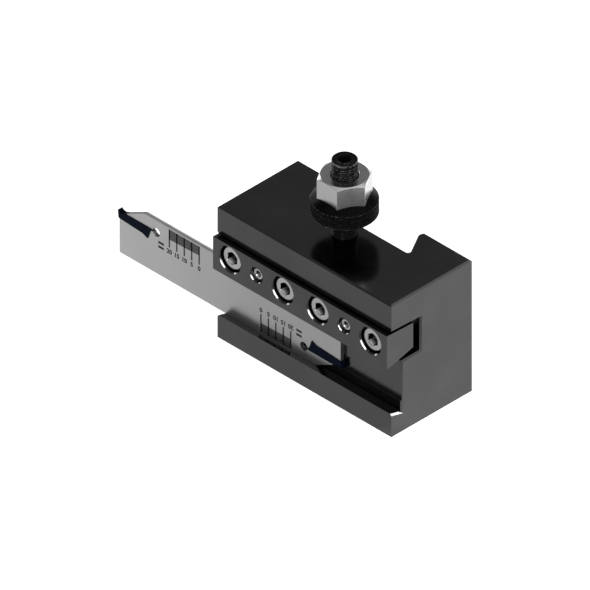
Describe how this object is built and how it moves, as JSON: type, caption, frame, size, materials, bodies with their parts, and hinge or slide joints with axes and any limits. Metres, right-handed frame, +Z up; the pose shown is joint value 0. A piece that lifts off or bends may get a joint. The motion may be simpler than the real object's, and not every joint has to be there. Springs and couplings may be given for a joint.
{
  "type": "parting blade holder",
  "caption": "Steel block with a wedge-clamped channel for a thin double-ended parting blade, a dovetail groove in its back and a knurled height nut on top.",
  "frame": {"origin": "middle of the holder body's base", "axes": "+X along the blade towards the holder's right end, +Y towards the dovetail side, +Z up along the height stud"},
  "size_m": [0.1877, 0.057, 0.1191],
  "materials": {
    "black_oxide": "black oxide",
    "blade_steel": "ground",
    "screw_steel": "turned",
    "carbide": "dark coated carbide",
    "dark_stud": "black oxide",
    "black_knurl": "black oxide, knurled",
    "bright_nut": "bright zinc"
  },
  "bodies": {
    "holder": {"holder_body": "black_oxide", "height_stud": "dark_stud"},
    "clamp": {"clamp_bar": "black_oxide"},
    "cap_screw_1": {"clamp_screw_1": "screw_steel"},
    "cap_screw_2": {"clamp_screw_2": "screw_steel"},
    "cap_screw_3": {"clamp_screw_3": "screw_steel"},
    "cap_screw_4": {"clamp_screw_4": "screw_steel"},
    "jack_1": {"jack_screw_1": "screw_steel"},
    "jack_2": {"jack_screw_2": "screw_steel"},
    "blade_set": {"blade": "blade_steel", "insert_working": "carbide", "insert_spare": "carbide"},
    "round_nut": {"height_nut": "black_knurl"},
    "hex_nut": {"lock_nut": "bright_nut"}
  },
  "joints": [
    {"name": "clamp_release", "type": "slide", "parent": "holder", "child": "clamp", "axis": [0, -1, 0], "range_m": [0, 0.0025]},
    {"name": "cap_screw_1_turn", "type": "hinge", "parent": "clamp", "child": "cap_screw_1", "pos_m": [-0.0471, -0.0284, 0.05171], "axis": [0, -1, 0], "range_deg": [0, 650]},
    {"name": "cap_screw_2_turn", "type": "hinge", "parent": "clamp", "child": "cap_screw_2", "pos_m": [-0.0117, -0.0284, 0.05171], "axis": [0, -1, 0], "range_deg": [0, 650]},
    {"name": "cap_screw_3_turn", "type": "hinge", "parent": "clamp", "child": "cap_screw_3", "pos_m": [0.0117, -0.0284, 0.05171], "axis": [0, -1, 0], "range_deg": [0, 650]},
    {"name": "cap_screw_4_turn", "type": "hinge", "parent": "clamp", "child": "cap_screw_4", "pos_m": [0.0471, -0.0284, 0.05171], "axis": [0, -1, 0], "range_deg": [0, 650]},
    {"name": "jack_screw_1_turn", "type": "hinge", "parent": "holder", "child": "jack_1", "pos_m": [-0.0294, -0.0285, 0.05171], "axis": [0, 1, 0], "range_deg": [0, 1000]},
    {"name": "jack_screw_2_turn", "type": "hinge", "parent": "holder", "child": "jack_2", "pos_m": [0.0294, -0.0285, 0.05171], "axis": [0, 1, 0], "range_deg": [0, 1000]},
    {"name": "blade_overhang", "type": "slide", "parent": "holder", "child": "blade_set", "axis": [-1, 0, 0], "range_m": [-0.025, 0.03]},
    {"name": "height_nut_travel", "type": "slide", "parent": "holder", "child": "round_nut", "axis": [0, 0, 1], "range_m": [-0.0115, 0.0075]},
    {"name": "lock_nut_turn", "type": "hinge", "parent": "round_nut", "child": "hex_nut", "pos_m": [0, 0, 0.104], "axis": [0, 0, 1], "range_deg": [-3300, 2150]}
  ],
  "couplings": [
    {"joint": "cap_screw_1_turn", "follows": "clamp_release", "rad_per_m": 4452.6},
    {"joint": "cap_screw_2_turn", "follows": "clamp_release", "rad_per_m": 4452.6},
    {"joint": "cap_screw_3_turn", "follows": "clamp_release", "rad_per_m": 4452.6},
    {"joint": "cap_screw_4_turn", "follows": "clamp_release", "rad_per_m": 4452.6},
    {"joint": "jack_screw_1_turn", "follows": "clamp_release", "rad_per_m": 6926.4},
    {"joint": "jack_screw_2_turn", "follows": "clamp_release", "rad_per_m": 6926.4},
    {"joint": "lock_nut_turn", "follows": "height_nut_travel", "rad_per_m": 4947.4}
  ]
}
